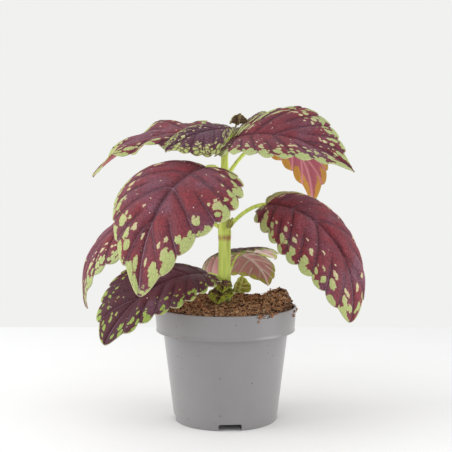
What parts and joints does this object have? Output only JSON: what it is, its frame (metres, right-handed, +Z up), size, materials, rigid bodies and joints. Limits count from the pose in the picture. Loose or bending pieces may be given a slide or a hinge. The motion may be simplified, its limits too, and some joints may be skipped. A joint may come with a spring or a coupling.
{
  "type": "potted coleus",
  "caption": "Potted coleus: a square stem with opposite pairs of toothed, arching two-tone leaves, standing in a round thin-walled nursery pot filled to the rim with peat.",
  "frame": {"origin": "centre of the pot's underside, on the ground", "axes": "+Z up along the pot's axis and the stem, +Y away from the picture's camera, +X to its right"},
  "size_m": [0.2394, 0.2107, 0.2668],
  "materials": {
    "pot": "satin thermoformed plastic",
    "soil": "loose fibrous peat",
    "stem": "soft fleshy green",
    "leaf": "downy maroon with lime margin"
  },
  "bodies": {
    "root": {"pot": "pot", "soil": "soil", "stem": "stem", "leaf_1_front": "leaf", "leaf_1_back": "leaf", "leaf_2_right": "leaf", "leaf_2_left": "leaf", "leaf_3_front": "leaf", "leaf_3_back": "leaf", "leaf_4_right": "leaf", "leaf_4_left": "leaf", "leaf_5_front": "leaf", "leaf_5_back": "leaf", "tip_leaf_left": "leaf", "tip_leaf_right": "leaf", "side_leaf_back": "leaf", "side_leaf_right": "leaf", "side_leaf_front": "leaf", "side_leaf_low": "leaf", "axil_leaf": "leaf"}
  },
  "joints": []
}
